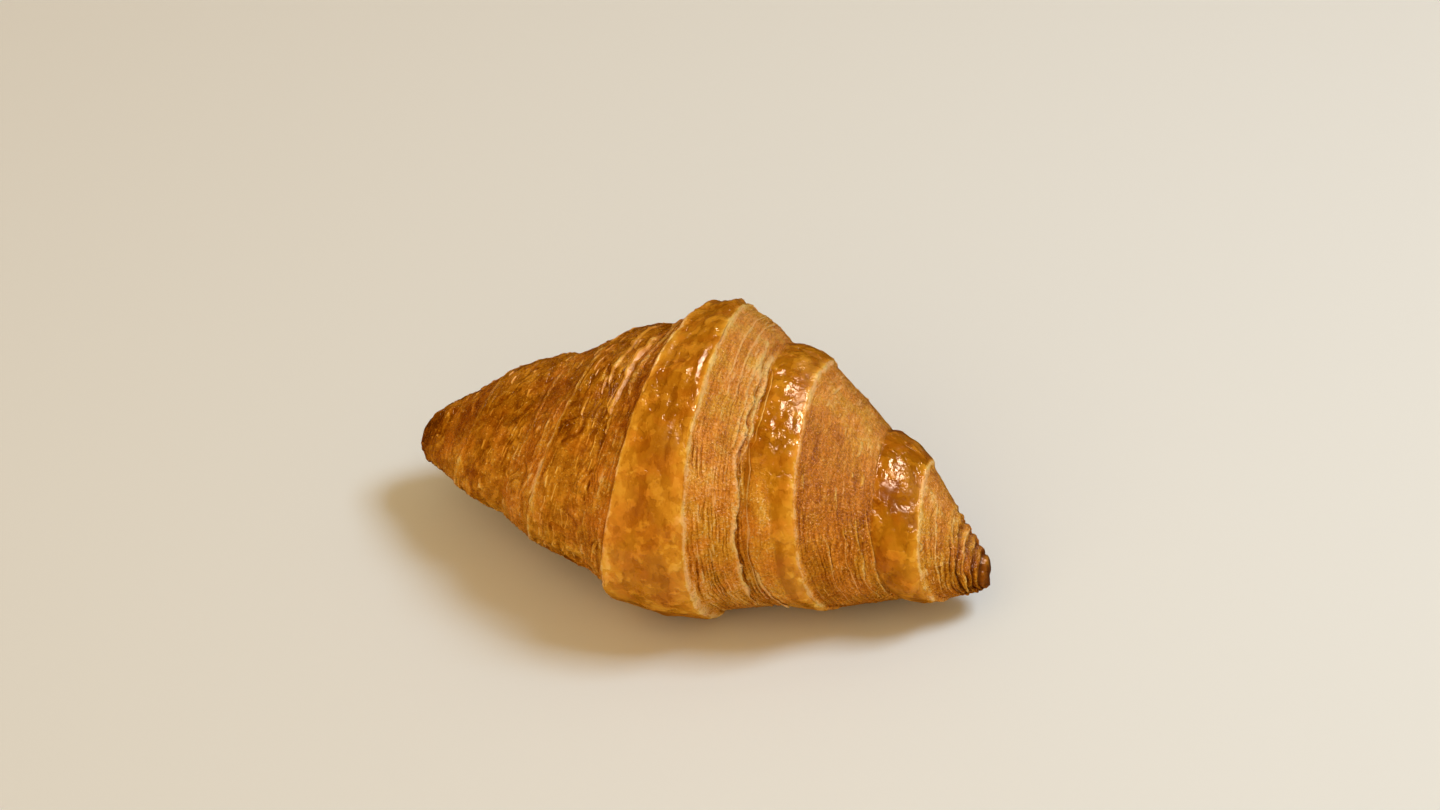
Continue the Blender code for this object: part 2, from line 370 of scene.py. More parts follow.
class Grid:
    """Columns along the roll by angles round it, with the strip each column lies in."""

    def __init__(self):
        columns = column_plan()
        self.degrees = segment_angles()
        lines = {i: edge_line(i, self.degrees) for i in range(-1, len(EDGES) + 1)}
        inner = np.array([c[0] for c in columns])
        outer = np.array([c[1] for c in columns])
        self.shape = (len(columns), len(self.degrees))
        self.fraction = self.fill([c[2] for c in columns])
        inner_x = np.stack([lines[i] for i in inner])
        outer_x = np.stack([lines[i] for i in outer])
        self.x = inner_x + (outer_x - inner_x) * self.fraction
        self.width = np.abs(outer_x - inner_x)
        self.angle = np.broadcast_to(self.degrees[None, :], self.shape)
        self.middle = self.fill((inner == FIRST_RIGHT_EDGE - 1) & (outer == FIRST_RIGHT_EDGE))
        self.strip, self.outer = self.fill(inner), self.fill(outer)
        facts = np.array([EDGES[i] for i in inner])
        names = ("crest", "lip", "valley", "depth", "layers", "clear", "torn")
        for name, values in zip(names, facts.T[2:]):
            setattr(self, name, self.fill(values))
        self.next_crest = self.fill([EDGES[i][2] if 0 <= i < len(EDGES) else 0.0 for i in outer])
        self.from_crest = self.fraction * self.width
        self.to_next = (1.0 - self.fraction) * self.width
        front = int(np.argmin(np.abs(self.degrees)))
        self.flow = self.fill(self.x[:, front])
        band = (lines[FIRST_RIGHT_EDGE - 1], lines[FIRST_RIGHT_EDGE], self.degrees)
        self.swell = swell(self.x, *band, BELLY) + swell(self.x, *band, HUMP)
        self.plain = roll_point(self.x, self.angle, 0.0, self.swell)
        self.y, self.z = self.plain[..., 1], self.plain[..., 2]

    def fill(self, per_column):
        """Values of the columns, repeated round the roll."""
        return np.broadcast_to(np.array(per_column)[:, None], self.shape)

    def streaks(self, across, along, seed, shift=0.0):
        """Noise drawn out along the edges: across and along are its sizes."""
        return gradient_noise((self.flow + shift) / across, self.y / along, self.z / along, seed)


def fold_height(g):
    """Relief of the folds: crests, lips, valleys and the proud middle band."""
    fall = np.clip(g.fraction / g.valley, 0.0, 1.0) ** CUT_POWER
    cut = g.crest - g.lip * ease(g.from_crest / LIP_WIDTH) - (g.crest - g.lip + g.depth) * fall
    climb = np.clip((g.fraction - g.valley) / (1.0 - g.valley), 0.0, 1.0)
    skin = -g.depth + (g.next_crest + g.depth) * (1.0 - (1.0 - climb) ** SKIN_POWER)
    left, right = EDGES[FIRST_RIGHT_EDGE - 1][2], EDGES[FIRST_RIGHT_EDGE][2]
    near_left = 1.0 - ease(g.fraction / MIDDLE_LEFT_SHARE)
    near_right = ease(1.0 - (1.0 - g.fraction) / MIDDLE_RIGHT_SHARE)
    band = MIDDLE_BAND_RISE + (left - MIDDLE_BAND_RISE) * near_left + (right - MIDDLE_BAND_RISE) * near_right
    return np.where(g.middle, band, np.where(g.fraction < g.valley, cut, skin))


# ---------------------------------------------------------------- crust

class Crust:
    """Heights and surface qualities of the crust on the grid."""

    def __init__(self, g):
        self.g = g
        self.kept = grip(g.angle)
        self.low = 1.0 - ease((g.angle - LOW_UP_TO) / LOW_FADE)
        beyond_valley = (g.fraction - g.valley) * g.width
        self.cut = np.where(g.middle, 0.0, 1.0 - ease(beyond_valley / 0.8 + 0.5))
        self.beyond_valley = np.where(g.middle, 9.0, beyond_valley)
        self.is_left = np.where(g.middle, 0.0, 1.0) * (g.strip < FIRST_RIGHT_EDGE)

        parts = [self.sheets(), self.fibres(), self.crevices(), self.skin(), self.rims(), self.tip_fins()]
        lump = LUMP_HEIGHT * self.lump_noise()
        self.height = (fold_height(g) + lump) * self.kept
        worn = 0.2 + 0.8 * ease((self.kept - PRESSED_RELIEF) / 0.5)
        self.detail = sum(parts) * worn
        self.base = 1.0 - ease((self.kept - PRESSED_RELIEF) / 0.5)
        self.russet = self.cut * (g.strip == WIDE_CUT) * bell(g.angle - 58.0, 34.0)
        self.flap = self.loose_flap()
        self.detail = self.detail + 0.22 * self.flap * worn * cloud(g.x, g.y, g.z, 1.7, 81, 2)
        self.cut = np.maximum(self.cut, 0.85 * self.flap)
        self.glossy = self.glossy * (1.0 - self.flap)
        self.bake = self.baked()

    def sheets(self):
        """Laminated cut faces: thin sheets side by side, clearest low at the front."""
        g = self.g
        across = np.clip(g.fraction / g.valley, 0.0, 1.15)
        sway = g.streaks(6.0, 13.0, 21)
        waver = g.streaks(2.5, 4.5, 22)
        stacked = g.layers * across ** 0.95 + 1.5 * sway + 0.4 * waver
        broken = 2.6 * g.streaks(5.0, 13.0, 26) + 0.8 * g.streaks(2.2, 6.5, 27) + 3.5 * g.fraction
        self.sheet = np.where(self.is_left > 0, broken, stacked) + 20.0 * g.strip
        number = np.floor(self.sheet)
        place = self.sheet - number
        strength = gradient_noise(number * 3.7, g.y / 11.0, g.z / 11.0, 23)
        strength = np.clip(0.62 + 0.95 * strength, 0.05, 1.25)
        shown = self.low + (1.0 - self.low) * np.where(g.strip == FIRST_RIGHT_EDGE, 0.35, 0.10)
        shown = shown * (0.45 + 0.55 * ease(0.62 + 1.5 * g.streaks(3.5, 7.0, 25)))
        flaky = 0.75 * ease(0.72 + 1.4 * g.streaks(7.0, 14.0, 28)) * ease(g.to_next / 1.2)
        self.clear = np.where(self.is_left > 0, flaky, g.clear * shown * self.cut) * strength
        self.clear = self.clear * ease(g.from_crest / 0.7)
        ridge = 0.5 - 0.5 * np.cos(2.0 * np.pi * place)
        # Painted shade in the grooves between the sheets: it only darkens the colour.
        self.groove_shade = self.clear * (1.0 - ridge) ** 3.0
        return 0.36 * self.clear * (ridge ** 1.3 - 0.5 + 0.35 * (0.5 - place)) * (1.0 + 0.3 * self.is_left)

    def fibres(self):
        """Ragged fibres of the dough along the edges, strongest on the left half."""
        g = self.g
        thin = np.clip(1.0 - 2.6 * np.abs(g.streaks(1.25, 8.0, 31)), 0.0, 1.0)
        fine = np.clip(1.0 - 2.6 * np.abs(g.streaks(0.7, 4.0, 32)), 0.0, 1.0)
        patch = ease(0.5 + 1.6 * g.streaks(6.0, 12.0, 33))
        weight = self.is_left * (0.6 + 0.4 * self.cut) + 0.5 * (1.0 - self.is_left) * self.cut
        self.fibre = weight * patch * (0.6 * thin + 0.4 * fine)
        grain = cloud(g.x, g.y, g.z, 1.5, 41, 2, 0.8)
        crumb = cloud(g.x, g.y, g.z, 4.0, 44, 2, 0.7)
        rough = np.maximum(self.cut, 0.65 * self.is_left)
        return 0.50 * (self.fibre - 0.3 * weight) + rough * (0.14 * grain + 0.26 * crumb)

    def crevices(self):
        """Cracks under the torn sheets, where the cut face meets the skin: sunk, and painted darker as the
        shade inside them.
        """
        g = self.g
        open_here = ease(0.5 + 1.6 * g.streaks(8.0, 9.0, 61)) * g.torn
        wobble = 0.6 * g.streaks(5.0, 5.0, 62)
        self.gap = bell(self.beyond_valley - 0.5 - wobble, 0.55) * open_here
        from_parting = (g.fraction - PARTING_AT) * g.width - 0.3 * g.streaks(6.0, 9.0, 63)
        parting = bell(from_parting, 0.45) * (g.strip == FIRST_RIGHT_EDGE)
        self.gap = np.maximum(self.gap, parting * ease((PARTING_UP_TO - g.angle) / 30.0))
        return -0.45 * self.gap

    def skin(self):
        """Glazed skin: soft blisters and hollows, and creases where it was stretched."""
        g = self.g
        on_skin = 1.0 - self.cut
        blister = cloud(g.x, g.y, g.z, 9.0, 51, 2)
        pock = cloud(g.x, g.y, g.z, 3.6, 54, 2)
        drawn = g.streaks(2.6, 7.0, 55) + 0.4 * g.streaks(1.4, 4.0, 56)
        bend = 1.2 * cloud(g.x, g.y, g.z, 6.0, 66, 1)
        crease = 1.0 - 2.6 * np.abs(gradient_noise(g.x / 3.6 + bend, g.y / 4.6, g.z / 4.6 - bend, 57))
        crease = crease + 0.25 * (1.0 - 2.4 * np.abs(gradient_noise(g.x / 1.9, g.y / 2.4, g.z / 2.4, 58)))
        share = np.where(g.middle, 0.8, np.choose(g.strip, (0.3, 0.4, 0.4, 0.9, 1.5, 0.6)))
        stretched = bell(g.angle - STRETCHED_AT, STRETCHED_SPREAD) * share
        stretched = stretched * ease(0.65 + 1.3 * cloud(g.x, g.y, g.z, 12.0, 59, 1))
        self.glossy = on_skin * 0.35 * ease(0.5 + 1.5 * cloud(g.x, g.y, g.z, 7.0, 65, 2))
        self.glossy = np.maximum(self.glossy, np.clip(1.3 * stretched, 0.0, 1.0) * on_skin)
        self.glossy = self.glossy * (1.0 - ease((g.x - BARE_TIP_FROM) / BARE_TIP_FADE))
        hanging = np.choose(g.strip, (0.1, 0.1, 0.2, 0.45, 1.0, 0.4)) * (1.0 - 0.7 * g.middle)
        hanging = hanging * bell(g.angle - HANGING_AT, HANGING_SPREAD)
        hanging = hanging * ease(0.7 + 1.2 * cloud(g.x, g.y, g.z, 8.0, 83, 1))
        crumpled = np.maximum(stretched, hanging)
        bubbles = self.bubbles()
        dimples = 0.30 + 0.6 * bell(g.angle - 74.0, 28.0) * g.middle
        puckered = 0.24 + 0.42 * bell(g.angle - 68.0, 24.0) * (g.middle + 0.5 * (g.strip == WIDE_CUT))
        body = 0.5 * blister + dimples * pock + puckered * drawn
        body = body + 0.50 * crumpled * (crease - 0.3) + bubbles * (0.35 + 0.65 * self.low)
        return on_skin * body

    def bubbles(self):
        """Small round blisters scattered over the skin."""
        g = self.g
        draw = np.random.default_rng(5)
        total = np.zeros(g.shape)
        for _ in range(BUBBLES):
            x, angle = draw.uniform(-HALF, HALF), draw.uniform(-40.0, 220.0)
            radius, height = draw.uniform(0.7, 2.2), draw.uniform(0.10, 0.30)
            centre = roll_point(np.array([[x]]), np.array([[angle]]), 0.0)[0, 0]
            near = np.abs(g.x[:, 0] - x) < 16.0
            apart = np.linalg.norm(g.plain[near] - centre, axis=-1) / radius
            total[near] += height * (bell(apart, 0.8) - 0.35 * bell(apart - 1.25, 0.35))
        return total

    def rims(self):
        """The skin thickens and pales towards every edge; a thin line on each crest is also painted bright
        as its highlight.
        """
        g = self.g
        facts = np.array([RIMS[min(max(i, 0), len(RIMS) - 1)] for i in range(-1, len(RIMS) + 1)])
        own = g.fill(facts[g.strip[:, 0] + 1, 0])
        ahead, width_ahead = (g.fill(facts[g.outer[:, 0] + 1, k]) for k in (0, 1))
        ends = (g.outer < 0) | (g.outer >= len(EDGES))
        ahead = np.where(ends, 0.0, ahead)
        uneven = g.streaks(9.0, 6.0, 71)
        band = width_ahead * (0.55 + 0.75 * self.low) * (1.0 + 0.35 * uneven)
        here = ahead * ease(1.2 - g.to_next / band)
        own_width = g.fill(facts[g.strip[:, 0] + 1, 1])
        own_width = own_width * (0.55 + 0.75 * self.low) * (1.0 + 0.35 * uneven)
        here = np.where(g.middle, np.maximum(here, own * ease(1.2 - g.from_crest / own_width)), here)
        here = here * (1.0 - self.cut)
        over = own * bell(g.from_crest, 0.34)
        fading = np.where(g.outer == FIRST_RIGHT_EDGE - 1, 1.0, 1.0 - 0.25 * self.low)
        self.rim_band = np.clip(here, 0.0, 1.0) * fading
        worn = 0.45 + 0.6 * ease(0.5 + 1.2 * g.streaks(12.0, 3.0, 72))
        # Thin bright line on each crest: paler dough, painted brighter still as its highlight.
        self.rim_and_highlight = np.clip(np.maximum(over, ahead * bell(g.to_next, 0.42)) * worn, 0.0, 1.0)
        return 0.14 * self.rim_band + 0.22 * self.rim_and_highlight * (1.0 + 0.6 * uneven)

    def tip_fins(self):
        """Stacked sheets at the ends, like a closed fan, with painted shade in the gaps between them."""
        g = self.g
        right = ease((g.flow - 65.5) / 3.5)
        left = ease((-g.flow - 66.0) / 4.0)
        waver = 0.35 * g.streaks(3.0, 3.5, 81)
        place = np.mod(g.flow / TIP_FIN_PITCH + waver, 1.0)
        fin = 0.5 - 0.5 * np.cos(2.0 * np.pi * place)
        strength = np.clip(0.8 + 0.6 * g.streaks(1.6, 5.0, 82), 0.2, 1.3)
        self.shaded_fin_gap = (1.0 - fin) ** 2 * np.maximum(right, 0.45 * left) * strength
        return (right * 1.15 + left * 0.35) * strength * (fin - 0.75)

    def lump_noise(self):
        """Hand-rolled unevenness, the same as the CAD's."""
        g = self.g
        half_width, half_height = taper(g.x)[:2]
        turn = np.radians(g.angle)
        spots = np.stack([g.x, -half_width * np.cos(turn), half_height * np.sin(turn)], axis=-1) / LUMP_SIZE
        flat = [noise.noise(Vector(spot)) for spot in spots.reshape(-1, 3)]
        return np.array(flat).reshape(g.shape)

    def loose_flap(self):
        """Pale gritty sheet lying loose beside the parting, wider towards the table."""
        g = self.g
        outer = FLAP_TO + FLAP_LOW_SPREAD * self.low + 0.03 * cloud(g.x, g.y, g.z, 6.0, 82, 2)
        inside = ease((g.fraction - FLAP_FROM) / 0.03) * (1.0 - ease((g.fraction - outer) / 0.03 + 0.5))
        return (g.strip == FIRST_RIGHT_EDGE) * inside * ease((FLAP_UP_TO - g.angle) / 30.0)

    def baked(self):
        """How far the crust is baked: the tips and proud skins most, the cut faces and low skins least. Its
        top is painted paler as the light and sheen on it, and the tip fins' gaps darker as their shade.
        """
        g = self.g
        is_right = 1.0 - self.is_left
        wide = g.strip == WIDE_CUT
        left_tip = 0.12 * ease((-g.x - LEFT_TIP_FROM) / LEFT_TIP_FADE)
        right_tip = 0.18 * ease((g.x - RIGHT_TIP_FROM) / RIGHT_TIP_FADE)
        top = bell(g.angle - LIT_TOP_AT, LIT_TOP_SPREAD)
        lower_right = self.low * (g.strip >= WIDE_CUT) * is_right
        tone = 0.60 - 0.15 * self.cut * is_right + (0.12 - 0.04 * self.cut) * self.is_left
        tone = tone - (0.17 + 0.08 * self.is_left) * self.low + 0.10 * lower_right
        # Painted light: the top of the roll is paler, as the light and sheen on it.
        tone = tone - (0.17 + 0.05 * self.cut * is_right) * top
        tone = tone + 0.08 * wide * (1.0 - self.cut) * (1.0 - 1.3 * self.low)
        tone = tone + (0.06 + 0.08 * bell(g.angle - 55.0, 24.0)) * self.cut * wide
        mottle = cloud(g.x, g.y, g.z, 11.0, 91, 3)
        streak = g.streaks(2.2, 9.0, 94) * (0.3 + 0.7 * np.maximum(self.cut, self.is_left))
        tone = tone + (0.07 + 0.05 * self.is_left) * mottle + 0.12 * streak + left_tip + right_tip
        # The gaps between the tip fins are darkened once more, as painted shade.
        return np.clip(tone + 0.30 * self.shaded_fin_gap - 0.12 * self.fibre - 0.05 * self.flap, 0.0, 1.0)


def grid_normals(points):
    """Outward normals of a grid of points that closes round its second axis."""
    along = np.gradient(points, axis=0)
    around = np.roll(points, -1, axis=1) - np.roll(points, 1, axis=1)
    normal = np.cross(around, along)
    length = np.linalg.norm(normal, axis=-1, keepdims=True)
    normal = normal / np.maximum(length, 1e-9)
    centre = points.mean(axis=1, keepdims=True)
    facing = np.sign(np.sum(normal * (points - centre), axis=-1).mean())
    return normal * facing


def crust_points(g, crust):
    """Final points of the crust in metres, brought to the CAD solid's box."""
    points = roll_point(g.x, g.angle, crust.height, g.swell)
    normal = grid_normals(g.plain)
    closing = ease((HALF - np.abs(g.x)) / 1.5)[..., None]
    points = points + normal * crust.detail[..., None] * closing
    points[..., 2] = np.maximum(points[..., 2], 0.0)
    low, high = points.min(axis=(0, 1)), points.max(axis=(0, 1))
    span = np.array(HIGH) - np.array(LOW)
    return np.array(LOW) + (points - low) / (high - low) * span


def build_mesh(name, vertices, faces):
    """New mesh object from arrays."""
    mesh = bpy.data.meshes.new(name)
    mesh.from_pydata(vertices.tolist(), [], faces)
    mesh.update()
    piece = bpy.data.objects.new(name, mesh)
    bpy.context.scene.collection.objects.link(piece)
    return piece


def grid_faces(columns, segments):
    """Quads between the columns, closed round the roll, and a fan at each tip."""
    i, j = np.meshgrid(np.arange(columns - 1), np.arange(segments), indexing="ij")
    after = (j + 1) % segments
    inner, outer = i * segments, (i + 1) * segments
    quads = np.stack([inner + j, outer + j, outer + after, inner + after], -1)
    faces = quads.reshape(-1, 4).tolist()
    left, right = columns * segments, columns * segments + 1
    last = (columns - 1) * segments
    faces += [(left, k, (k + 1) % segments) for k in range(segments)]
    faces += [(right, last + (k + 1) % segments, last + k) for k in range(segments)]
    return faces


def add_values(mesh, name, values):
    """Float attribute on the grid's vertices, with a mean value at each tip."""
    flat = np.concatenate([values.reshape(-1), [values[0].mean(), values[-1].mean()]])
    mesh.attributes.new(name, "FLOAT", "POINT").data.foreach_set("value", flat.astype(np.float32))


def add_bake_map(mesh, across, along):
    """Map of a wrapped grid's faces onto a square: across and along are each face corner's place."""
    layer = mesh.uv_layers.new(name="OFBake")
    places = np.stack([across, along], axis=-1).reshape(-1).astype(np.float32)
    layer.data.foreach_set("uv", places)


def crust_map(columns, segments):
    """Places of the crust's face corners, in the order of grid_faces."""
    i, j = np.meshgrid(np.arange(columns - 1), np.arange(segments), indexing="ij")
    k = np.arange(segments)
    across = [np.stack([i, i + 1, i + 1, i], -1).reshape(-1) + 1.0]
    along = [np.stack([j, j, j + 1, j + 1], -1).reshape(-1)]
    across += [np.stack([0 * k, 0 * k + 1, 0 * k + 1], -1).reshape(-1)]
    along += [np.stack([k + 0.5, k, k + 1], -1).reshape(-1)]
    last = 0 * k + columns
    across += [np.stack([last + 1, last, last], -1).reshape(-1)]
    along += [np.stack([k + 0.5, k + 1, k], -1).reshape(-1)]
    return np.concatenate(across) / (columns + 1.0), np.concatenate(along) / segments


class Layout:
    """The finished crust, in millimetres, for laying loose sheets on it."""

    def __init__(self, g, crust, points):
        self.g, self.crust = g, crust
        self.points = points / MM
        self.normals = grid_normals(self.points)

    def column(self, edge, fraction):
        """Column number, with decimals, at a fraction of the strip outside an edge."""
        mine = np.flatnonzero((self.g.strip[:, 0] == edge) & ~self.g.middle[:, 0])
        order = mine[np.argsort(self.g.fraction[mine, 0])]
        return np.interp(fraction, self.g.fraction[order, 0], order)

    def blend(self, values, column, segment):
        """Values of the grid between its columns and segments."""
        i = np.clip(np.floor(column).astype(int), 0, self.g.shape[0] - 2)
        j = np.clip(np.floor(segment).astype(int), 0, TOP_SEGMENTS - 2)
        u, v = np.clip(column - i, 0.0, 1.0), np.clip(segment - j, 0.0, 1.0)
        if values.ndim == 3:
            u, v = u[..., None], v[..., None]
        low = values[i, j] * (1 - v) + values[i, j + 1] * v
        high = values[i + 1, j] * (1 - v) + values[i + 1, j + 1] * v
        return low * (1 - u) + high * u

    def sheet(self, edge, fraction, width, lift, start, end, seed):
        """Closed thin sheet along an edge, with its outer side raised and ragged."""
        span = math.radians(end - start) * float(self.reach(edge, fraction, (start + end) / 2))
        count = max(int(span / SHEET_STEP), 6)
        along = np.linspace(0.0, 1.0, count)
        mm = along * span
        zero = np.zeros(count)
        fade = ease(along / 0.15) * ease((1.0 - along) / 0.15)
        ragged = gradient_noise(mm / 1.3, zero, zero + seed * 3.1, 101)
        slow = gradient_noise(mm / 9.0, zero, zero + seed * 5.7, 102)
        notch = ease(1.3 + 1.1 * gradient_noise(mm / 7.0, zero, zero + seed * 2.3, 103))
        reach = np.maximum(width * fade * notch * (0.9 + 0.3 * slow + 0.07 * ragged), 0.05)
        raised = lift * fade * (0.8 + 0.5 * slow + 0.10 * ragged) * notch
        angle = start + (end - start) * along
        segment = (angle - (BASE_TO - 360.0)) / (BASE_FROM - BASE_TO + 360.0) * TOP_SEGMENTS
        middle = self.column(edge, fraction)
        strip_width = self.blend(self.g.width, np.full(count, middle), segment)
        across = np.linspace(0.0, 1.0, SHEET_ROWS)
        offset = across[None, :] * reach[:, None] - width + 0.45 * slow[:, None]
        place = fraction + offset / strip_width[:, None]
        column = self.column(edge, np.clip(place, 0.004, 0.98))
        segments = np.broadcast_to(segment[:, None], column.shape)
        base = self.blend(self.points, column, segments)
        normal = self.blend(self.normals, column, segments)
        height = -0.3 + (raised[:, None] + 0.3) * across[None, :] ** 1.4
        top = base + normal * height[..., None]
        bottom = top - normal * SHEET_THICKNESS
        names = ("bake", "flow", "cut")
        facts = {name: self.blend(getattr(self.crust, name), column, segments) for name in names}
        facts["torn"] = np.broadcast_to(across[None, :] ** 2, column.shape) * fade[:, None]
        return top, bottom, facts

    def reach(self, edge, fraction, angle):
        """Distance of the crust from the axis of the roll."""
        segment = (angle - (BASE_TO - 360.0)) / (BASE_FROM - BASE_TO + 360.0) * TOP_SEGMENTS
        column = np.array([float(self.column(edge, fraction))])
        spot = self.blend(self.points, column, np.array([segment]))[0]
        axis = self.points[int(column[0])].mean(axis=0)
        return np.linalg.norm(spot - axis)


def thin_solid(top, bottom):
    """Vertices and faces of a closed sheet between two grids of points."""
    rows, columns = top.shape[:2]
    count = rows * columns
    number = np.arange(count).reshape(rows, columns)
    i, j = np.meshgrid(np.arange(rows - 1), np.arange(columns - 1), indexing="ij")
    quads = np.stack([number[i, j], number[i + 1, j], number[i + 1, j + 1], number[i, j + 1]], -1)
    quads = quads.reshape(-1, 4)
    outline = np.concatenate([number[:-1, 0], number[-1, :-1], number[:0:-1, -1], number[0, :0:-1]])
    after = np.roll(outline, -1)
    walls = np.stack([outline, after, after + count, outline + count], -1)
    faces = quads[:, ::-1].tolist() + (quads + count).tolist() + walls.tolist()
    return np.concatenate([top.reshape(-1, 3), bottom.reshape(-1, 3)]), faces


def make_flakes(layout):
    """Torn sheets along the valleys and small loose flakes, as one piece."""
    draw = np.random.default_rng(31)
    sheets = list(TORN_SHEETS)
    for _ in range(SMALL_FLAKES):
        edge = int(draw.choice(FLAKY_EDGES))
        start = draw.uniform(-30.0, 190.0)
        most = 1.0 if edge < FIRST_RIGHT_EDGE else EDGES[edge][4]
        place = draw.uniform(0.06, 0.94) * most
        width, lift = draw.uniform(0.4, 1.2), draw.uniform(0.15, 0.5)
        sheets.append((edge, place, width, lift, start, start + draw.uniform(3.0, 14.0)))
    vertices, faces, facts = [], [], {"bake": [], "flow": [], "cut": [], "torn": []}
    total = 0
    for number, sheet in enumerate(sheets):
        top, bottom, values = layout.sheet(*sheet, number)
        spots, sides = thin_solid(top, bottom)
        vertices.append(spots)
        faces += [[v + total for v in side] for side in sides]
        total += len(spots)
        for name in facts:
            facts[name] += [values[name].reshape(-1)] * 2
    vertices = np.concatenate(vertices)
    vertices = np.clip(vertices, np.array(LOW) / MM + 0.02, np.array(HIGH) / MM - 0.02)
    piece = build_mesh("flakes", vertices * MM, faces)
    for name, values in facts.items():
        flat = np.concatenate(values).astype(np.float32)
        piece.data.attributes.new(name, "FLOAT", "POINT").data.foreach_set("value", flat)
    piece.data.shade_smooth()
    return piece


def make_crust():
    """The whole baked crust as one closed mesh, and the layout for what lies on it."""
    g = Grid()
    crust = Crust(g)
    points = crust_points(g, crust)
    columns, segments = g.shape
    tips = np.stack([points[0].mean(axis=0), points[-1].mean(axis=0)])
    vertices = np.concatenate([points.reshape(-1, 3), tips])
    piece = build_mesh("crust", vertices, grid_faces(columns, segments))
    mesh = piece.data
    add_bake_map(mesh, *crust_map(columns, segments))
    crust.flow = g.flow
    for name in ("bake", "cut", "groove_shade", "gap", "fibre", "rim_and_highlight", "rim_band", "base", "sheet",
                 "clear", "glossy", "flow", "is_left", "shaded_fin_gap", "russet"):
        add_values(mesh, name, getattr(crust, name))
    mesh.shade_smooth()
    return piece, Layout(g, crust, points)


# ---------------------------------------------------------------- materials

class Shade:
    """Short way to write shader nodes."""

    def __init__(self, name):
        self.material = bpy.data.materials.new(name)
        self.material.use_nodes = True
        self.tree = self.material.node_tree
        self.surface = self.tree.nodes["Principled BSDF"]

    def feed(self, socket, value):
        """Link a socket or set a constant."""
        if isinstance(value, bpy.types.NodeSocket):
            self.tree.links.new(value, socket)
        else:
            socket.default_value = value

    def math(self, kind, *values, clamp=False):
        """Math node."""
        node = self.tree.nodes.new("ShaderNodeMath")
        node.operation, node.use_clamp = kind, clamp
        for socket, value in zip(node.inputs, values):
            self.feed(socket, value)
        return node.outputs[0]

    def add(self, *values):
        """Sum of several values."""
        total = values[0]
        for value in values[1:]:
            total = self.math("ADD", total, value)
        return total

    def times(self, *values):
        """Product of several values."""
        total = values[0]
        for value in values[1:]:
            total = self.math("MULTIPLY", total, value)
        return total

    def opposite(self, value):
        """One minus the value."""
        return self.math("SUBTRACT", 1.0, value)

    def value(self, name):
        """Number carried by the mesh."""
        node = self.tree.nodes.new("ShaderNodeAttribute")
        node.attribute_name = name
        return node.outputs["Fac"]

    def place(self):
        """Object coordinates in millimetres."""
        spot = self.tree.nodes.new("ShaderNodeTexCoord")
        node = self.tree.nodes.new("ShaderNodeVectorMath")
        node.operation = "SCALE"
        node.inputs["Scale"].default_value = 1.0 / MM
        self.tree.links.new(spot.outputs["Object"], node.inputs[0])
        return node.outputs[0]

    def along_edges(self, spot, across, along):
        """Coordinates that run with the edges: across and along are the sizes of one unit."""
        split = self.tree.nodes.new("ShaderNodeSeparateXYZ")
        self.tree.links.new(spot, split.inputs[0])
        parts = (self.value("flow"), split.outputs[1], split.outputs[2])
        node = self.tree.nodes.new("ShaderNodeCombineXYZ")
        for socket, part, size in zip(node.inputs, parts, (across, along, along)):
            self.feed(socket, self.math("DIVIDE", part, size))
        return node.outputs[0]

    def noise(self, spot, scale, detail=3.0, roughness=0.55, distortion=0.0):
        """Noise between 0 and 1."""
        node = self.tree.nodes.new("ShaderNodeTexNoise")
        self.feed(node.inputs["Vector"], spot)
        for name, value in (("Scale", scale), ("Detail", detail), ("Roughness", roughness),
                            ("Distortion", distortion)):
            node.inputs[name].default_value = value
        return node.outputs["Fac"]

    def step(self, value, low, high, to_low=0.0, to_high=1.0):
        """Smooth step of a value from one range to another."""
        node = self.tree.nodes.new("ShaderNodeMapRange")
        node.interpolation_type = "SMOOTHSTEP"
        for socket, entry in zip(node.inputs, (value, low, high, to_low, to_high)):
            self.feed(socket, entry)
        return node.outputs[0]

    def mix(self, factor, first, second, blend="MIX"):
        """Mix of two colours."""
        node = self.tree.nodes.new("ShaderNodeMix")
        node.data_type, node.blend_type = "RGBA", blend
        self.feed(node.inputs[0], factor)
        for socket, colour in ((node.inputs[6], first), (node.inputs[7], second)):
            self.feed(socket, (*colour, 1.0) if isinstance(colour, tuple) else colour)
        return node.outputs[2]

    def ramp(self, value, stops):
        """Colour ramp from (place, colour) stops."""
        node = self.tree.nodes.new("ShaderNodeValToRGB")
        ramp = node.color_ramp
        while len(ramp.elements) < len(stops):
            ramp.elements.new(0.5)
        for element, (place, colour) in zip(ramp.elements, stops):
            element.position, element.color = place, (*colour, 1.0)
        self.feed(node.inputs[0], value)
        return node.outputs[0]

    def bump(self, height, distance, strength=1.0, normal=None):
        """Small relief."""
        node = self.tree.nodes.new("ShaderNodeBump")
        node.inputs["Strength"].default_value = strength
        node.inputs["Distance"].default_value = distance
        self.feed(node.inputs["Height"], height)
        if normal is not None:
            self.feed(node.inputs["Normal"], normal)
        return node.outputs[0]


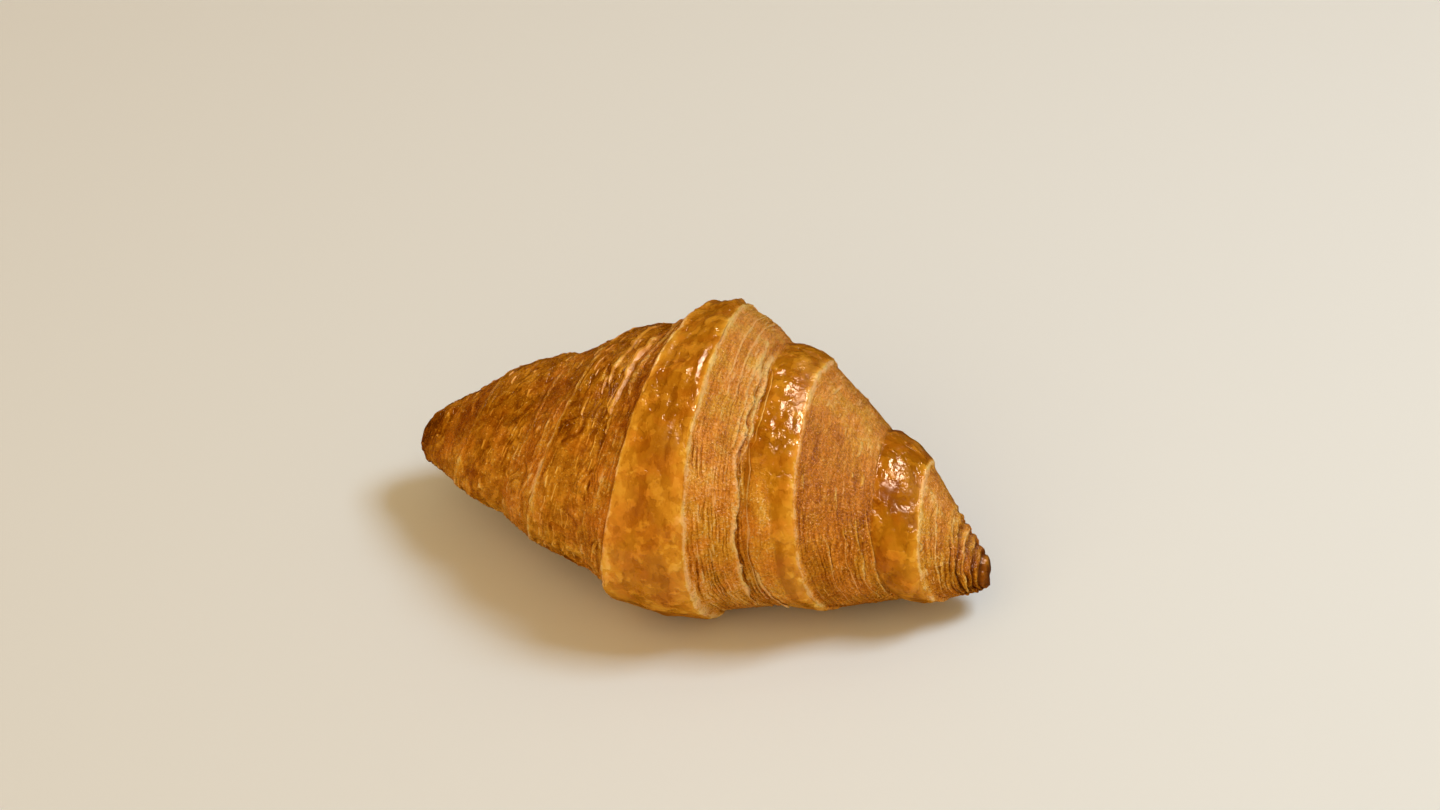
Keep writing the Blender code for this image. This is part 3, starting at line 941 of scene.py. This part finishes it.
def crust_material():
    """Baked, egg-washed laminated dough."""
    s = Shade("crust")
    spot = s.place()
    names = ("bake", "cut", "groove_shade", "gap", "torn", "fibre", "rim_and_highlight", "rim_band", "base", "clear",
             "glossy", "is_left", "shaded_fin_gap", "russet")
    quality = {name: s.value(name) for name in names}
    bake, cut, torn, base, is_left = (quality[name] for name in ("bake", "cut", "torn", "base", "is_left"))
    skin = s.opposite(cut)
    ragged = s.math("MAXIMUM", cut, s.times(is_left, 0.85))
    combed = s.times(ragged, s.add(1.0, s.times(is_left, -0.50)))

    # Patches, fibres and grain.
    patch = s.step(s.noise(s.along_edges(spot, 2.4, 3.6), 1.0, 4.0, 0.6, 0.5), 0.36, 0.64, -1.0, 1.0)
    fine = s.step(s.noise(spot, 0.8, 5.0, 0.65, 0.2), 0.3, 0.7, -1.0, 1.0)
    thread = s.step(s.noise(s.along_edges(spot, 0.6, 8.0), 1.0, 3.0, 0.6, 0.4), 0.3, 0.7, -1.0, 1.0)
    grain = s.noise(spot, 1.9, 2.0, 0.6)
    specks = s.step(s.noise(spot, 1.7, 2.0, 0.6), 0.36, 0.64, -1.0, 1.0)

    # Thin dark line between each two sheets, painted as the shade in the gap between them; the bump sinks it
    # too.
    sheet = s.math("FRACT", s.value("sheet"))
    nearest = s.math("MINIMUM", sheet, s.opposite(sheet))
    shaded_line = s.times(s.opposite(s.step(nearest, 0.05, 0.20)), quality["clear"])
    # Pale line along the raised edge of each sheet, painted as its highlight.
    broken = s.step(s.noise(s.along_edges(spot, 1.1, 5.0), 1.0, 2.0, 0.5), 0.42, 0.60)
    from_edge = s.math("ABSOLUTE", s.add(sheet, -0.34))
    edge = s.times(s.opposite(s.step(from_edge, 0.04, 0.15)), quality["clear"], broken)
    # Glints: small glossy spots, also painted pale in the colour as painted highlights.
    glint = s.times(s.step(s.noise(spot, 1.9, 1.0, 0.5), 0.60, 0.70), ragged)
    smooth_skin = s.times(skin, s.opposite(s.times(is_left, 0.2)))
    caramel = s.step(s.noise(s.along_edges(spot, 4.2, 6.0), 1.0, 3.0, 0.55), 0.50, 0.55)
    caramel = s.times(caramel, smooth_skin)
    pale = s.times(s.step(s.noise(spot, 0.24, 3.0, 0.55), 0.53, 0.59), smooth_skin)

    tone = s.add(
        bake,
        s.times(patch, s.add(0.05, s.times(is_left, 0.05))),
        s.times(fine, s.add(0.015, s.times(ragged, 0.06))),
        s.times(thread, combed, 0.10),
        s.times(specks, combed, 0.10),
        s.times(glint, -0.36),
        s.times(edge, s.add(-0.32, s.times(is_left, -0.10))),
        s.times(caramel, 0.11),
        s.times(pale, -0.13),
        s.times(shaded_line, s.add(0.26, s.times(is_left, -0.10))),
        s.times(quality["rim_band"], s.add(-0.26, s.times(is_left, -0.04))),
        *(s.times(quality[name], weight) for name, weight in TONE_SHIFTS),
    )
    golden_or_russet = s.step(s.noise(spot, 0.16, 3.0, 0.55), 0.36, 0.64)
    leaning = s.add(s.times(cut, 0.42), -0.35, s.times(quality["russet"], 0.6))
    redness = s.math("ADD", golden_or_russet, leaning, clamp=True)
    tint = s.mix(redness, GOLDEN_TINT, RUSSET_TINT)
    colour = s.mix(1.0, s.ramp(tone, BAKE_COLOURS), tint, "MULTIPLY")
    s.feed(s.surface.inputs["Base Color"], colour)

    shine = s.times(s.step(quality["glossy"], 0.05, 0.55), skin, s.opposite(torn))
    grainy = s.step(grain, 0.3, 0.7, -1.0, 1.0)
    rough = s.add(0.35, s.times(shine, -0.24), s.times(ragged, -0.08), s.times(glint, -0.20),
                  s.times(torn, 0.08), s.times(grainy, 0.05), s.times(base, 0.15))
    s.feed(s.surface.inputs["Roughness"], rough)
    s.surface.inputs["IOR"].default_value = GLAZE_IOR
    s.surface.inputs["Specular Tint"].default_value = (*GLAZE_TINT, 1.0)

    peel = s.noise(spot, 0.9, 3.0, 0.5)
    strand = s.noise(s.along_edges(spot, 0.45, 6.0), 1.0, 4.0, 0.6, 0.5)
    height = s.add(
        s.times(shaded_line, -0.9),
        s.times(strand, combed, 1.3),
        s.times(grain, s.add(0.05, s.times(combed, 2.6))),
        s.times(glint, 0.8), s.times(caramel, -0.35), s.times(pale, 0.5),
        s.times(peel, skin, 0.7),
    )
    s.feed(s.surface.inputs["Normal"], s.bump(height, GRAIN_DEPTH * MM, 1.0))
    return s.material


def plain_material(name, colour, roughness):
    """Matt plain colour."""
    s = Shade(name)
    s.surface.inputs["Base Color"].default_value = (*colour, 1.0)
    s.surface.inputs["Roughness"].default_value = roughness
    s.surface.inputs["Specular IOR Level"].default_value = 0.2
    return s.material


# ---------------------------------------------------------------- floor, light and camera

def make_floor(material):
    """Pale floor under the croissant."""
    edge = FLOOR_SIZE / 2.0
    corners = np.array([(-edge, -edge, 0.0), (edge, -edge, 0.0), (edge, edge, 0.0), (-edge, edge, 0.0)])
    floor = build_mesh("floor", corners, [(0, 1, 2, 3)])
    floor.data.materials.append(material)
    return floor


def look_along(forward):
    """Rotation of a camera or lamp that faces along a direction, upright."""
    return Vector(forward).to_track_quat("-Z", "Y")


def area_light(name, direction, distance, size, power, colour):
    """Square soft light shining at the croissant from a direction."""
    data = bpy.data.lights.new(name, "AREA")
    data.shape, data.size = "SQUARE", size
    data.energy, data.color = power, colour
    lamp = bpy.data.objects.new(name, data)
    away = Vector(direction).normalized()
    lamp.location = away * distance
    lamp.rotation_mode = "QUATERNION"
    lamp.rotation_quaternion = look_along(-away)
    bpy.context.scene.collection.objects.link(lamp)
    return lamp


def make_lights():
    """Key and fill light without reflections, and the light that the glaze reflects."""
    key = area_light("key", KEY_DIRECTION, KEY_DISTANCE, KEY_SIZE, KEY_POWER, KEY_COLOUR)
    key.visible_glossy = False
    gloss = area_light("gloss", GLOSS_DIRECTION, KEY_DISTANCE, KEY_SIZE, GLOSS_POWER, GLOSS_COLOUR)
    gloss.visible_diffuse = False
    fill = area_light("fill", FILL_DIRECTION, FILL_DISTANCE, FILL_SIZE, FILL_POWER, FILL_COLOUR)
    fill.visible_glossy = False


def make_world(colour, strength):
    """Even surrounding light without reflections."""
    world = bpy.data.worlds.new("studio")
    world.use_nodes = True
    background = world.node_tree.nodes["Background"]
    background.inputs["Color"].default_value = (*colour, 1.0)
    background.inputs["Strength"].default_value = strength
    world.cycles_visibility.glossy = False
    bpy.context.scene.world = world


def make_camera():
    """Camera at the height and side the croissant is seen from."""
    turn, rise = math.radians(CAMERA_AZIMUTH), math.radians(CAMERA_ELEVATION)
    back = Vector((math.sin(turn) * math.cos(rise), -math.cos(turn) * math.cos(rise), math.sin(rise)))
    right = Vector((math.cos(turn), math.sin(turn), 0.0))
    up = back.cross(right)
    data = bpy.data.cameras.new("camera")
    data.lens, data.sensor_width = CAMERA_LENS, CAMERA_SENSOR
    data.clip_start, data.clip_end = 0.05, 20.0
    camera = bpy.data.objects.new("camera", data)
    camera.location = Vector(CAMERA_TARGET) + back * CAMERA_DISTANCE
    aim = -back + right * CAMERA_AIM[0] + up * CAMERA_AIM[1]
    camera.rotation_mode = "QUATERNION"
    camera.rotation_quaternion = look_along(aim)
    bpy.context.scene.collection.objects.link(camera)
    bpy.context.scene.camera = camera


def main():
    """Build the piece, the floor and the studio."""
    crust, layout = make_crust()
    flakes = make_flakes(layout)
    material = crust_material()
    for piece in (crust, flakes):
        piece.data.materials.append(material)
        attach(piece, "root")
    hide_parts("croissant")

    floor = make_floor(plain_material("floor", FLOOR_COLOUR, 0.8))
    floor.visible_glossy = False
    make_world(SKY_COLOUR, SKY_STRENGTH)
    make_lights()
    make_camera()

    view = bpy.context.scene.view_settings
    view.view_transform, view.look = "Standard", "None"


main()
